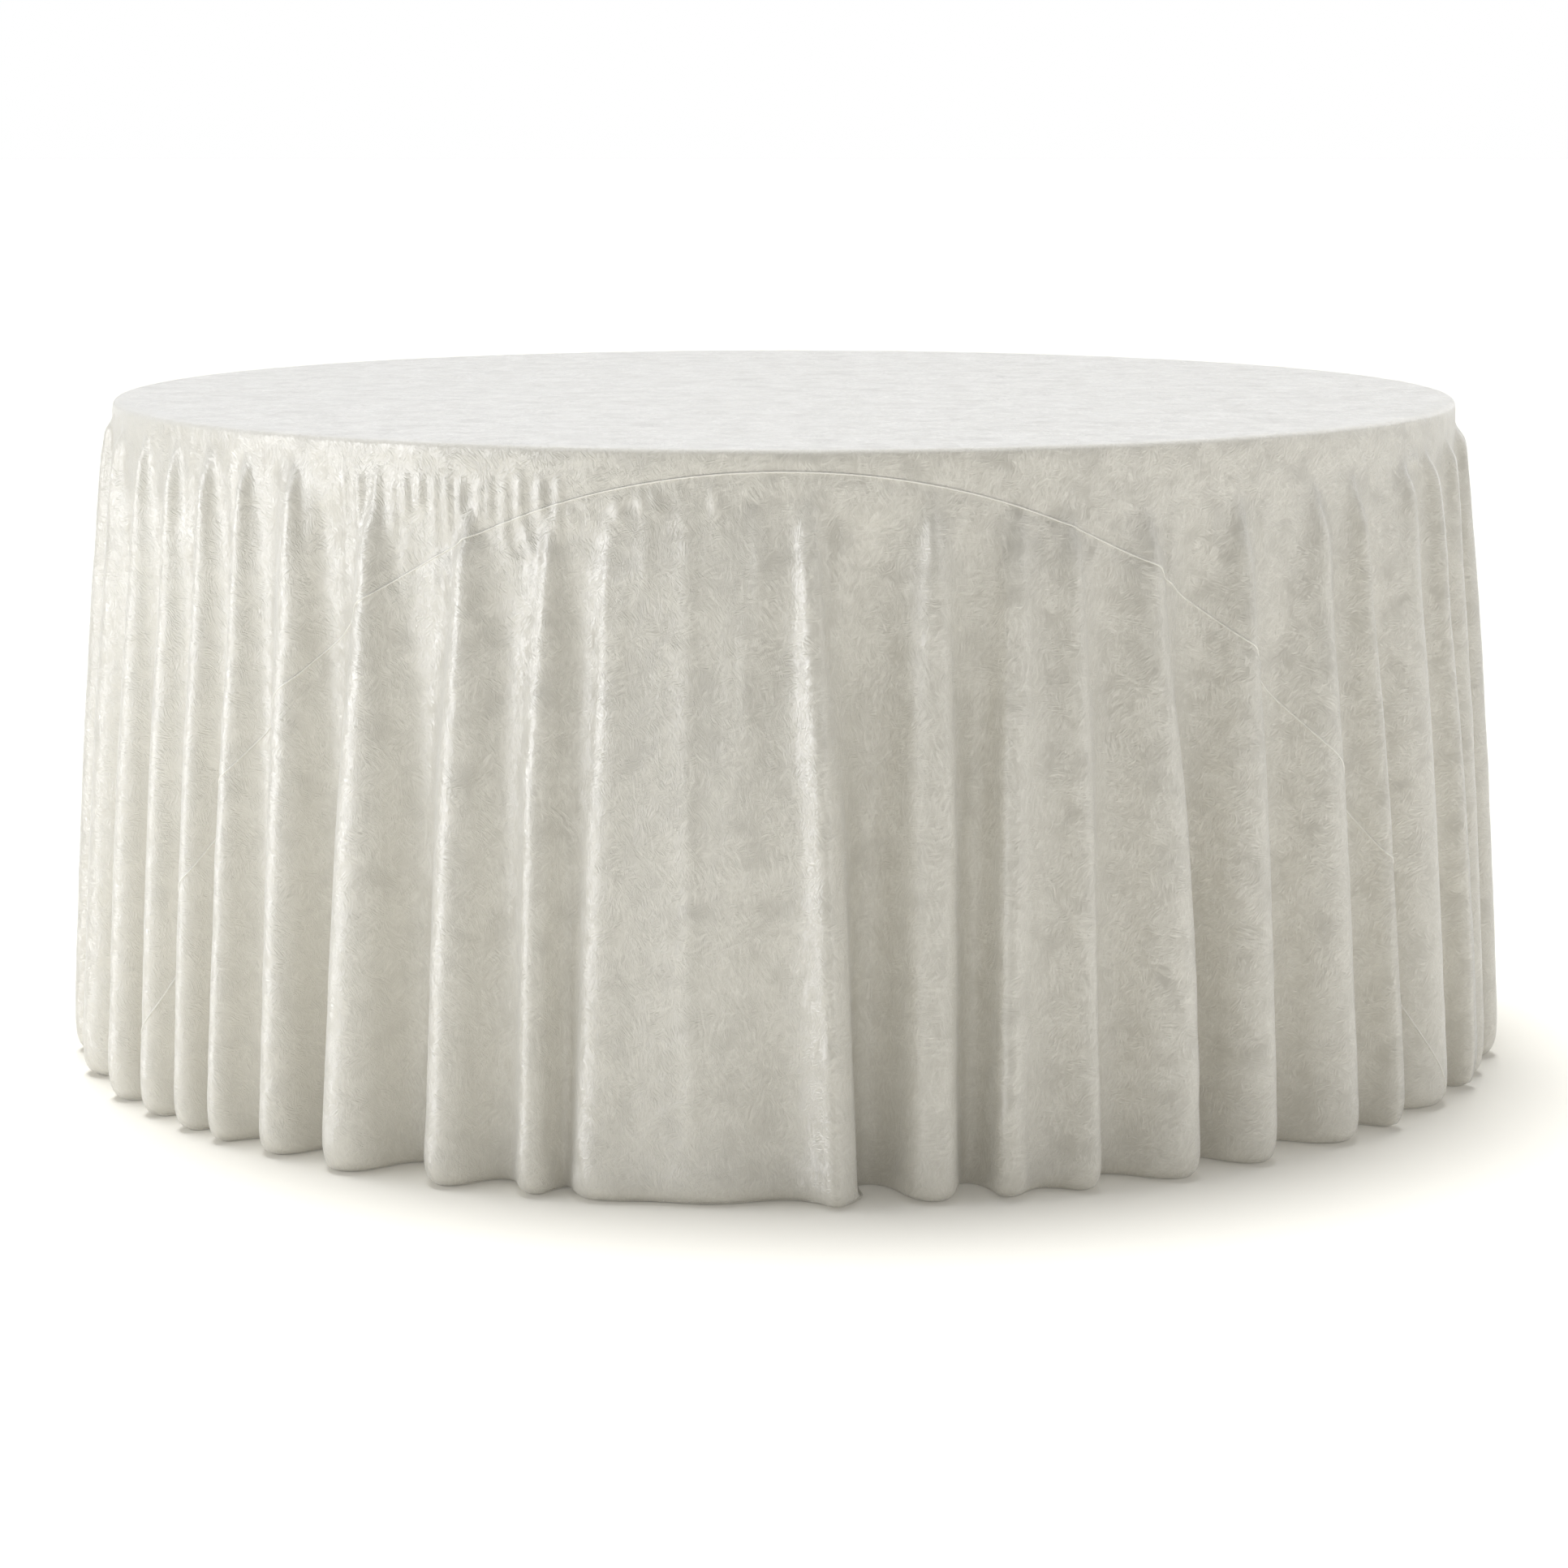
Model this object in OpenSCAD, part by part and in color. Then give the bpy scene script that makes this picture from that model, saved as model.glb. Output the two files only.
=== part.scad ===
// Round, floor-length, three-panel velvet tablecloth on a folding banquet table.
// Origin on the floor under the centre of the table, +Z up, -Y to the front. Millimetres.

/* [Cloth] */
// Thickness of the velvet
cloth_t = 1.5; // [1:0.1:2]
// Width of the centre panel, from seam to seam, laid flat
panel_w = 1564; // [1550:2:1590]
// How far the folds reach out past the edge of the table at the floor
flare = 57; // [40:1:70]
// Width of a sewn seam
seam_w = 6; // [4:1:8]
// How far a seam stands proud of the cloth
seam_rise = 1; // [0.5:0.1:1.5]
// Height of the rolled hem
hem_h = 8; // [6:1:12]
// Thickness of the rolled hem
hem_t = 4; // [3:0.5:5]

/* [Table top] */
// Diameter of the table top
top_d = 1524; // [1510:2:1540]
// Height of the table top above the floor
top_z = 740; // [735:1:750]
// Depth of the moulded rim
rim_depth = 57; // [52:1:58]
// Width of the moulded rim
rim_w = 24; // [18:1:28]
// Thickness of the moulded panel inside the rim
slab_t = 22; // [21:0.5:23]
// Rounding of the upper edge
edge_r = 5; // [3:0.5:6]

/* [Legs] */
// Distance of each leg hinge from the centre of the table
hinge_x = 480; // [475:1:490]
// Outward splay of the legs, in degrees
splay = 4; // [3:0.5:5]
// Outside diameter of the leg tubes
tube_d = 25; // [24:0.5:25]
// Wall of the steel tubes
tube_wall = 1.5; // [1:0.25:2]
// Outside diameter of the cross bars
bar_d = 19; // [18:0.5:19]
// Distance of the brace pin and the upper cross bar from the hinge
brace_at = 250; // [245:1:255]
// Distance of the lower cross bar from the hinge
foot_bar_at = 644; // [643:1:645]
// Distance of the brace anchor from the hinge
anchor_at = 350; // [345:1:355]

/* [Hidden] */
$fn = 64;

VELVET = [0.83, 0.82, 0.78];
PLASTIC = [0.88, 0.88, 0.86];
STEEL = [0.42, 0.43, 0.45];
ZINC = [0.72, 0.73, 0.75];
RUBBER = [0.1, 0.1, 0.1];

far = 1000;          // beyond every part
gap = 0.3;           // between the cloth and the table
top_r = top_d / 2;
under_z = top_z - slab_t;
tube_r = tube_d / 2;
bar_r = bar_d / 2;

// --- Cloth ---------------------------------------------------------------

flare_power = 0.59;  // the folds open quickly under the edge and slowly near the floor
wall_steps = 14;
wall_top = edge_r;
wall_drop = top_z - wall_top;

// Inner radius of the skirt at a drop s below the table top
function wall_r(s) = top_r + gap + flare * pow(max(0, s - wall_top) / wall_drop, flare_power);

// Inner face of the cloth, moved out by d, from the centre of the top down to the drop s_end
function face(d, s_end) = concat(
    [[0, top_z + gap + d]],
    [for (i = [0 : 6]) let (a = 90 - 15 * i)
        [top_r - edge_r + (edge_r + gap + d) * cos(a), top_z - edge_r + (edge_r + gap + d) * sin(a)]],
    [for (i = [1 : wall_steps]) let (s = wall_top + (s_end - wall_top) * pow(i / wall_steps, 1.7))
        [wall_r(s) + d, top_z - s]]
);

function backwards(list) = [for (i = [len(list) - 1 : -1 : 0]) list[i]];

module bell(t) {
    s_end = top_z - hem_h;
    rotate_extrude($fn = 180)
        polygon(concat(face(t, s_end), backwards(face(0, s_end))));
}

// Distance of a seam from the plane y = 0 at a drop s: a straight line of the flat cloth,
// wrapped down the skirt
function seam_y(s) = (wall_r(s) + cloth_t) * (panel_w / 2) / (top_r + s);

// Everything in front of the front seam, moved forward by d
module before_seam(d) {
    steps = 18;
    line = [for (i = [0 : steps]) let (s = top_z * pow(i / steps, 1.4)) [-seam_y(s) - d, top_z - s]];
    rotate([90, 0, 90])
        linear_extrude(height = 2 * far, center = true)
            polygon(concat([[-far, top_z]], line, [[-far, 0]]));
}

module side_panel() {
    intersection() {
        bell(cloth_t);
        before_seam(seam_w / 2);
    }
}

module seam() {
    difference() {
        intersection() {
            bell(cloth_t + seam_rise);
            before_seam(-seam_w / 2);
        }
        before_seam(seam_w / 2);
    }
}

module behind() {
    mirror([0, 1, 0]) children();
}

module centre_panel() {
    color(VELVET) difference() {
        bell(cloth_t);
        before_seam(-seam_w / 2);
        behind() before_seam(-seam_w / 2);
    }
}

module front_panel() { color(VELVET) side_panel(); }
module back_panel() { color(VELVET) behind() side_panel(); }
module front_seam() { color(VELVET * 1.08) seam(); }
module back_seam() { color(VELVET * 1.08) behind() seam(); }

module hem() {
    r = hem_t / 2;
    mid = wall_r(top_z - hem_h) + cloth_t / 2;
    color(VELVET * 0.95) rotate_extrude($fn = 180) polygon(concat(
        [for (i = [0 : 6]) let (a = 180 + 30 * i) [mid + r * cos(a), r + r * sin(a)]],
        [[mid + r, hem_h], [mid - r, hem_h]]
    ));
}

// --- Table top -----------------------------------------------------------

rail_w = 25;
rail_h = 26;
rail_y = 385;        // inner face of a rail
rail_half = 560;
rail_wall = 1.5;
screw_r = 2.4;
screw_deep = 13;     // into the panel
hole_play = 0.1;

module both_sides() {
    children();
    behind() children();
}

// Hollow round tube along Y
module cross_tube(d, wall, half) {
    rotate([90, 0, 0]) difference() {
        cylinder(d = d, h = 2 * half, center = true);
        cylinder(d = d - 2 * wall, h = 2 * half + 2, center = true);
    }
}

// Round rod along +Y, from y0 to y1
module rod(r, y0, y1) {
    translate([0, y0, 0]) rotate([-90, 0, 0]) cylinder(r = r, h = y1 - y0);
}

rail_screw_x = [-500, -250, 0, 250, 500];

// One screw with its tip up, its head under the plane z = 0
module screw(grip) {
    cylinder(r = screw_r, h = grip + screw_deep, $fn = 24);
    translate([0, 0, -3]) cylinder(r1 = 3.6, r2 = 5, h = 3, $fn = 32);
}

// Places of all upright screws on the front half, with the z of the seat of each head
module at_rail_screws() {
    for (x = rail_screw_x)
        translate([x, rail_y + rail_w / 2, under_z - rail_h]) children();
}

module at_bracket_screws() {
    flange_seat = under_z - plate_t;
    for (side = [-1, 1]) {
        translate([side * hinge_x, flange_hole(rail_y), flange_seat]) children();
        translate([side * (hinge_x - anchor_at), flange_hole(brace_bracket_y(side)), flange_seat])
            children();
    }
}

// The panel is a twin shell: a top sheet with the outer wall of the rim, and an underside sheet
// with the inner wall, joined along the bottom of the rim
sheet_t = 4;
inner_r = top_r - rim_w;
rim_z = top_z - rim_depth;

module screw_holes() {
    both_sides() {
        at_rail_screws() cylinder(r = screw_r + hole_play, h = rail_h + screw_deep + 1, $fn = 24);
        at_bracket_screws() cylinder(r = screw_r + hole_play, h = plate_t + screw_deep + 1, $fn = 24);
    }
}

module table_top() {
    color(PLASTIC) rotate_extrude($fn = 180) polygon(concat(
        [[0, top_z - sheet_t], [top_r - edge_r, top_z - sheet_t], [top_r - edge_r, rim_z], [top_r, rim_z]],
        [for (i = [0 : 6]) let (a = 15 * i)
            [top_r - edge_r + edge_r * cos(a), top_z - edge_r + edge_r * sin(a)]],
        [[0, top_z]]
    ));
}

module underside() {
    color(PLASTIC) difference() {
        rotate_extrude($fn = 180) polygon([
            [0, under_z], [inner_r, under_z], [inner_r, rim_z], [top_r - edge_r, rim_z],
            [top_r - edge_r, rim_z + sheet_t], [inner_r + sheet_t, rim_z + sheet_t],
            [inner_r + sheet_t, under_z + sheet_t], [0, under_z + sheet_t]
        ]);
        screw_holes();
    }
}

module rail() {
    difference() {
        translate([-rail_half, rail_y, under_z - rail_h]) cube([2 * rail_half, rail_w, rail_h]);
        translate([-rail_half - 1, rail_y + rail_wall, under_z - rail_h + rail_wall])
            cube([2 * rail_half + 2, rail_w - 2 * rail_wall, rail_h - 2 * rail_wall]);
        at_rail_screws() translate([0, 0, -1]) cylinder(r = screw_r + hole_play, h = rail_h + 2, $fn = 24);
    }
}

module back_rail() { color(STEEL) rail(); }
module front_rail() { color(STEEL) behind() rail(); }

// Plastic plugs in the ends of the rails
module rail_caps() {
    plug = 12;
    cap = 3;
    color(RUBBER) both_sides() for (side = [0, 1]) mirror([side, 0, 0])
        translate([rail_half, rail_y, under_z - rail_h]) {
            cube([cap, rail_w, rail_h]);
            translate([-plug, rail_wall, rail_wall])
                cube([plug, rail_w - 2 * rail_wall, rail_h - 2 * rail_wall]);
        }
}

module rail_screws() {
    color(ZINC) both_sides() at_rail_screws() screw(rail_h);
}

// --- Leg hinges and brace anchors ----------------------------------------

// The left legs are narrower and hinge lower than the right ones, so the two frames nest
narrow_half = 290;
wide_half = 330;
narrow_z = 678;
wide_z = 682;
plate_t = 4;
plate_w = 44;
plate_in = 13.5;     // from the middle of a leg to the inner face of its brace bracket
flange_w = 28;
bolt_r = 5;
rivet_r = 4;
play = 0.05;         // radial clearance of every pivot
link_t = 4;
link_w = 20;
lower_in = 14;       // from the middle of a leg to the inner face of its lower link
upper_in = 18.5;
bush_len = 20;
bush_lip = 1.5;
axle_half = rail_y - plate_t - 1 - bush_lip;

function half_of(side) = side < 0 ? narrow_half : wide_half;
function hinge_z(side) = side < 0 ? narrow_z : wide_z;

// Outer face of a brace bracket, and the place of the screw in a bracket whose outer face is at y1
function brace_bracket_y(side) = half_of(side) + plate_in + plate_t;
function flange_hole(y1) = y1 - (flange_w + plate_t) / 2;

// Moves a shape drawn at a hinge, with the middle of the table along +X, to its own side
module at_hinge(side) {
    translate([side * hinge_x, 0, hinge_z(side)])
        mirror([side < 0 ? 0 : 1, 0, 0]) children();
}

// Angle bracket with its upright outer face at y1, its flange inwards under the panel
// and a round hole at the origin
module bracket(y1, rise, hole_r) {
    difference() {
        union() {
            translate([-plate_w / 2, y1 - plate_t, -14]) cube([plate_w, plate_t, rise + 14]);
            translate([-plate_w / 2, y1 - flange_w, rise - plate_t]) cube([plate_w, flange_w, plate_t]);
        }
        rod(hole_r, y1 - plate_t - 1, y1 + 1);
        translate([0, flange_hole(y1), rise - plate_t - 1])
            cylinder(r = screw_r + hole_play, h = plate_t + 2, $fn = 24);
    }
}

module hinge_brackets() {
    color(ZINC) both_sides() for (side = [-1, 1])
        at_hinge(side) bracket(rail_y, under_z - hinge_z(side), bolt_r + 0.02);
}

module hinge_bolts() {
    color(ZINC) both_sides() for (side = [-1, 1]) at_hinge(side) {
        rod(bolt_r, rail_y - 30, rail_y);
        rod(9, rail_y, rail_y + 5);
    }
}

module brace_brackets() {
    color(ZINC) both_sides() for (side = [-1, 1]) at_hinge(side) translate([anchor_at, 0, 0])
        bracket(brace_bracket_y(side), under_z - hinge_z(side), rivet_r + 0.02);
}

module brace_rivets() {
    color(ZINC) both_sides() for (side = [-1, 1]) at_hinge(side) translate([anchor_at, 0, 0]) {
        y0 = half_of(side) + plate_in;
        rod(rivet_r, y0, y0 + 9.5);
        rod(7, y0 + 9.5, y0 + 12);
    }
}

module bracket_screws() {
    color(ZINC) both_sides() at_bracket_screws() screw(plate_t);
}

// --- Leg frames, drawn at the hinge with the middle of the table along +X --

sole = 8;            // rubber under the end of a tube
cup = 24;            // height of a foot up the tube

module splayed() {
    rotate([0, splay, 0]) children();
}

module axle() {
    cross_tube(tube_d, tube_wall, axle_half);
}

module bushes() {
    bore = tube_r - tube_wall;
    both_sides() difference() {
        union() {
            rod(bore, axle_half - bush_len, axle_half);
            rod(tube_r, axle_half, axle_half + bush_lip);
        }
        rod(bolt_r + play, axle_half - bush_len - 1, axle_half + bush_lip + 1);
    }
}

function leg_len(side) = hinge_z(side) / cos(splay);

module leg_tubes(side) {
    both_sides() difference() {
        splayed() translate([0, half_of(side), sole - leg_len(side)]) difference() {
            cylinder(r = tube_r, h = leg_len(side) - sole);
            translate([0, 0, -1]) cylinder(r = tube_r - tube_wall, h = leg_len(side) - sole + 2);
        }
        rod(tube_r, 0, far);
    }
}

// The narrow frame has its bars between the tubes, the wide frame on their inner side
module cross_bars(side) {
    inset = side < 0 ? 0 : tube_r + bar_r - 1;
    half = side < 0 ? narrow_half : wide_half + tube_r;
    splayed() difference() {
        for (d = [brace_at, foot_bar_at]) translate([inset, 0, -d]) cross_tube(bar_d, tube_wall, half);
        both_sides() translate([0, half_of(side), -far]) cylinder(r = tube_r, h = far);
    }
}

module feet(side) {
    both_sides() difference() {
        splayed() translate([0, half_of(side), -leg_len(side) - 5]) difference() {
            cylinder(r = tube_r + 3.5, h = cup + 5);
            translate([0, 0, sole + 5]) cylinder(r = tube_r, h = cup);
        }
        translate([-far, 0, -hinge_z(side) - far]) cube([2 * far, far, far]);
    }
}

module brace_pins(side) {
    both_sides() difference() {
        splayed() translate([0, 0, -brace_at]) rod(rivet_r, half_of(side), half_of(side) + lower_in + link_t);
        splayed() translate([0, half_of(side), -far]) cylinder(r = tube_r, h = far);
    }
}

// --- Folding braces --------------------------------------------------------

// The brace is straight when the legs stand and folded back on itself when they lie flat
pin_x = -brace_at * sin(splay);
pin_z = -brace_at * cos(splay);
brace_len = norm([anchor_at - pin_x, pin_z]);
brace_angle = atan2(-pin_z, anchor_at - pin_x);
upper_len = (brace_len + anchor_at - brace_at) / 2;
lower_len = (brace_len - anchor_at + brace_at) / 2;

// Draws along the brace: +X runs from the pin on the leg to the anchor under the panel
module along_brace() {
    translate([pin_x, 0, pin_z]) rotate([0, -brace_angle, 0]) children();
}

// Flat bar from x0 to x1 with round ends, a hole at each end and its inner face at y0
module link(x0, x1, y0, hole0, hole1) {
    difference() {
        union() {
            translate([x0, y0, -link_w / 2]) cube([x1 - x0, link_t, link_w]);
            for (x = [x0, x1]) translate([x, 0, 0]) rod(link_w / 2, y0, y0 + link_t);
        }
        translate([x0, 0, 0]) rod(hole0, y0 - 1, y0 + link_t + 1);
        translate([x1, 0, 0]) rod(hole1, y0 - 1, y0 + link_t + 1);
    }
}

module lower_links(side) {
    both_sides() along_brace()
        link(0, lower_len, half_of(side) + lower_in, rivet_r + play, rivet_r + 1);
}

module upper_links(side) {
    both_sides() along_brace()
        link(lower_len, brace_len, half_of(side) + upper_in, rivet_r + 0.02, rivet_r + play);
}

// The knee pivot is left open towards the lower link
module knee_rivets(side) {
    y0 = half_of(side) + upper_in;
    both_sides() along_brace() translate([lower_len, 0, 0]) {
        rod(rivet_r, y0, y0 + link_t);
        rod(7, y0 + link_t, y0 + link_t + 2);
    }
}

// --- Nodes -----------------------------------------------------------------

LEFT = -1;
RIGHT = 1;

centre_panel();
front_panel();
back_panel();
front_seam();
back_seam();
hem();
table_top();
underside();
front_rail();
back_rail();
rail_caps();
rail_screws();
hinge_brackets();
hinge_bolts();
brace_brackets();
brace_rivets();
bracket_screws();
color(STEEL) at_hinge(LEFT) axle();  // left_axle
color(PLASTIC) at_hinge(LEFT) bushes();  // left_bushes
color(STEEL) at_hinge(LEFT) leg_tubes(LEFT);  // left_leg_tubes
color(STEEL) at_hinge(LEFT) cross_bars(LEFT);  // left_cross_bars
color(RUBBER) at_hinge(LEFT) feet(LEFT);  // left_feet
color(ZINC) at_hinge(LEFT) brace_pins(LEFT);  // left_brace_pins
color(ZINC) at_hinge(LEFT) lower_links(LEFT);  // left_lower_links
color(ZINC) at_hinge(LEFT) upper_links(LEFT);  // left_upper_links
color(ZINC) at_hinge(LEFT) knee_rivets(LEFT);  // left_knee_rivets
color(STEEL) at_hinge(RIGHT) axle();  // right_axle
color(PLASTIC) at_hinge(RIGHT) bushes();  // right_bushes
color(STEEL) at_hinge(RIGHT) leg_tubes(RIGHT);  // right_leg_tubes
color(STEEL) at_hinge(RIGHT) cross_bars(RIGHT);  // right_cross_bars
color(RUBBER) at_hinge(RIGHT) feet(RIGHT);  // right_feet
color(ZINC) at_hinge(RIGHT) brace_pins(RIGHT);  // right_brace_pins
color(ZINC) at_hinge(RIGHT) lower_links(RIGHT);  // right_lower_links
color(ZINC) at_hinge(RIGHT) upper_links(RIGHT);  // right_upper_links
color(ZINC) at_hinge(RIGHT) knee_rivets(RIGHT);  // right_knee_rivets
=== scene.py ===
"""Looks for the round velvet tablecloth on its folding table. Metres, +Z up, -Y to the front.

The skirt is a grid of rings (equal distance from the middle of the flat cloth) and drop lines
(equal direction from the middle). A first shape hangs it in S-shaped folds of the right length,
and a short cloth solver lets it settle against the rim of the table and break on the floor.
"""

import math

import bpy
import numpy as np
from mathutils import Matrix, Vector


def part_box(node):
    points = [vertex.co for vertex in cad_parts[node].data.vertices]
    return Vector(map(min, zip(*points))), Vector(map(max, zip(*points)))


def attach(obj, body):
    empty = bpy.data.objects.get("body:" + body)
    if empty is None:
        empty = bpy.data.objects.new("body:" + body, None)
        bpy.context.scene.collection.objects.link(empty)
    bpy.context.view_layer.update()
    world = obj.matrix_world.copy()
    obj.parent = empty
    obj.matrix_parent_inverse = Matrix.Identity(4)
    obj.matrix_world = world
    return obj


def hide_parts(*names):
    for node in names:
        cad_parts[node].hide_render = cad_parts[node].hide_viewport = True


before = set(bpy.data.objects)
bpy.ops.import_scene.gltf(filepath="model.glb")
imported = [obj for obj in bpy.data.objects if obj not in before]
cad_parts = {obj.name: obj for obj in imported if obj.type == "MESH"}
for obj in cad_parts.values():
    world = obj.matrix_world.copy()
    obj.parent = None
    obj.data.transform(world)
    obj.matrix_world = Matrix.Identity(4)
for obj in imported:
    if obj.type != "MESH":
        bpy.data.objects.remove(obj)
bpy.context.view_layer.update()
RAD = math.pi / 180
TURN = 2 * math.pi

# --- Sizes ----------------------------------------------------------------

TOP_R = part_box("table_top")[1].x
TOP_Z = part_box("table_top")[1].z
RIM_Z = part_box("table_top")[0].z
CLOTH_R = 1.524          # radius of the flat cloth
SEAM_Y = 0.782           # distance of each seam from the middle of the flat cloth
ROUND = 0.005            # rounding of the table's edge
SKIN = 0.00105           # from the table to the middle of the cloth
WALL_R = TOP_R + SKIN    # the cloth where it lies on the rim
TURN_R = ROUND + SKIN    # the cloth where it turns over the edge
BEND_RHO = TOP_R - ROUND               # flat radius where the cloth starts to turn down
EDGE_RHO = BEND_RHO + TURN_R * math.pi / 2   # flat radius where it hangs straight down
DROP = CLOTH_R - EDGE_RHO
TAKE_UP = 0.978          # the crushing shortens the cloth where it hangs
HEM_DRAW = 0.02          # the sewn hem draws the last of the cloth in
HEM_BAND = 0.03          # length of cloth above the hem that it draws in
HEM_TURN = 0.010         # how far the hem turns in under the folds
HEM_R = 0.0017           # radius of the rolled hem
FLOOR_Z = HEM_R + 0.0004     # lowest place of the cloth's middle
TOP_LIFT = SKIN + 0.0004     # from the table to the middle of the cloth inside the edge
SECTORS = 720            # drop lines of the solver
NARROW = 0.42            # flatness of every crest at the edge
FOLDS_R = 0.785          # radius at which the widths of the folds are compared
EDGE_REACH = 0.7645      # greatest distance of the cloth from the axis, at the edge
FLARE = 0.0575           # how much further it reaches at the floor
MIN_LEAN = 0.3           # least share of a drop line's step that still goes down
STITCH = 0.0036          # length of a stitch of the seams
SEAM_STEP = 0.0011       # distance of the points along a seam

# Folds in front, in degrees from the front, right positive: the valley on a fold's left, its
# crest, the depth of that valley in millimetres and how flat the crest is
FRONT_FOLDS = [
    (-83.5, -79.8, 56, 1.2), (-75.8, -71.0, 62, 1.3), (-66.8, -62.0, 48, 1.2),
    (-59.6, -56.0, 50, 1.2), (-54.0, -50.6, 50, 1.2), (-48.8, -46.4, 50, 1.2),
    (-44.2, -40.4, 52, 1.2), (-37.6, -33.4, 60, 1.2), (-29.4, -24.8, 48, 1.0),
    (-21.4, -17.6, 36, 1.0), (-16.4, -14.2, 27, 1.3), (-9.6, -5.4, 8, 1.0),
    (1.0, 3.9, 18, 1.0), (6.6, 10.8, 56, 1.2), (13.9, 16.2, 44, 1.0), (19.0, 21.6, 20, 1.0),
    (24.4, 29.6, 34, 1.2), (32.4, 37.0, 60, 1.2), (40.6, 46.6, 60, 1.3),
    (50.4, 51.6, 36, 1.0), (53.6, 60.4, 60, 1.5), (65.4, 66.3, 38, 1.0),
    (68.0, 71.2, 58, 1.2), (75.0, 78.2, 60, 1.2),
]
BACK_START = 82.0        # where the seeded folds start
# Small ridges in front: degrees from the front at the edge and at the hem, where each starts and
# ends below the edge, its height and its half width, in millimetres
RIDGES = [
    (-16.9, -17.2, 36, 150, 2.2, 8), (-9.9, -10.2, 30, 150, 1.8, 8), (-7.0, -6.2, 30, 720, 2.6, 10),
    (-4.6, -5.0, 28, 110, 1.2, 7), (-1.7, -2.4, 28, 230, 1.6, 7), (1.9, 3.7, 24, 830, 9.5, 10.5),
    (4.4, 4.6, 28, 150, 1.2, 8), (12.4, 13.0, 30, 190, 1.8, 9), (16.5, 15.8, 60, 730, 5.0, 9),
    (30.9, 30.3, 90, 700, 2.6, 9), (11.8, 11.9, 40, 420, 2.2, 8), (21.5, 22.0, 60, 300, 1.8, 12),
    (-38.6, -40.5, 14, 260, 2.6, 11), (-41.6, -42.0, 16, 140, 2.2, 7),
    (-48.0, -48.2, 10, 120, 1.6, 7), (-54.4, -54.2, 10, 150, 1.6, 7), (27.0, 27.0, 60, 260, 1.4, 14),
    (39.5, 40.0, 50, 240, 1.4, 14), (56.5, 56.5, 30, 260, 1.6, 12),
]
# Valleys whose cloth comes from a known place: azimuth at the floor, azimuth at the table's edge
ANCHORS = {-83.5: -83.5, -59.6: -59.6, -37.6: -37.0, -16.4: -15.4, 6.6: 6.4,
           32.4: 32.4, 53.6: 53.6, 75.0: 75.0}
ANCHOR_GAP, LAST_ANCHOR = 28, 262    # spacing and end of the anchors behind, in degrees
# How full the cloth hangs: degrees from the front, and 1 for the girth of a full circle of cloth
# at that drop, 0 for the girth of the table's edge
FULLNESS = [(-180, 1), (-85, 1), (-75, 0.78), (-48, 0.7), (-38, 0.8), (-24, 0.78), (-17, 0.5),
            (-13, 0.42), (4, 0.42), (9, 0.7), (20, 0.8), (50, 0.85), (80, 1), (180, 1)]
# How far below the edge the cloth lies flat on the rim: degrees from the front, millimetres
HUG = [(-180, 18), (-150, 22), (-120, 14), (-95, 6), (-60, 4), (-42, 6), (-36, 28), (-28, 40),
       (-18, 38), (-13, 24), (-4, 20), (4, 18), (10, 24), (16, 36), (24, 44), (36, 42), (48, 34),
       (60, 24), (75, 14), (95, 14), (110, 18), (130, 26), (155, 20), (180, 18)]


# --- First shape ----------------------------------------------------------

def fold_plan():
    """The folds in front and seeded ones like them behind."""
    rng = np.random.default_rng(5)
    end = FRONT_FOLDS[0][0] + 360
    widths = []
    while BACK_START + sum(widths) < end - 10:
        widths.append(rng.uniform(5.6, 11.0))
    widths = np.array(widths) * (end - BACK_START) / sum(widths)
    plan, azimuth = list(FRONT_FOLDS), BACK_START
    for width in widths:
        depth = rng.uniform(52, 76) if rng.random() > 0.22 else rng.uniform(18, 36)
        crest = azimuth + width * rng.uniform(0.42, 0.6)
        plan.append((azimuth, crest, depth, rng.uniform(1.0, 1.4)))
        azimuth += width
    return plan


STEPS = np.linspace(0, 1, 65)            # places along a half fold
HEADINGS = np.linspace(0, 2.1, 85)       # its greatest heading off the rim, in radians


def half_fold_curves(flatness):
    """For each greatest heading, the way forward and inward along a half fold of unit length."""
    heading = HEADINGS[:, None] * np.sin(math.pi * STEPS[None, :] ** flatness)
    curves = []
    for step in (np.cos(heading), np.sin(heading)):
        run = np.cumsum((step[:, 1:] + step[:, :-1]) / 2, axis=1) / (len(STEPS) - 1)
        curves.append(np.concatenate([np.zeros((len(HEADINGS), 1)), run], axis=1))
    return curves


def cloth_in_half_fold(width, depth, curves):
    """Length of cloth in a half fold of this width and depth."""
    forward, inward = curves[0][:, -1], curves[1][:, -1]
    slope = inward / np.maximum(forward, 1e-3)
    top = int(np.argmax(slope))
    heading = np.interp(depth / width, slope[: top + 1], HEADINGS[: top + 1])
    return width / np.interp(heading, HEADINGS, forward)


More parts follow.
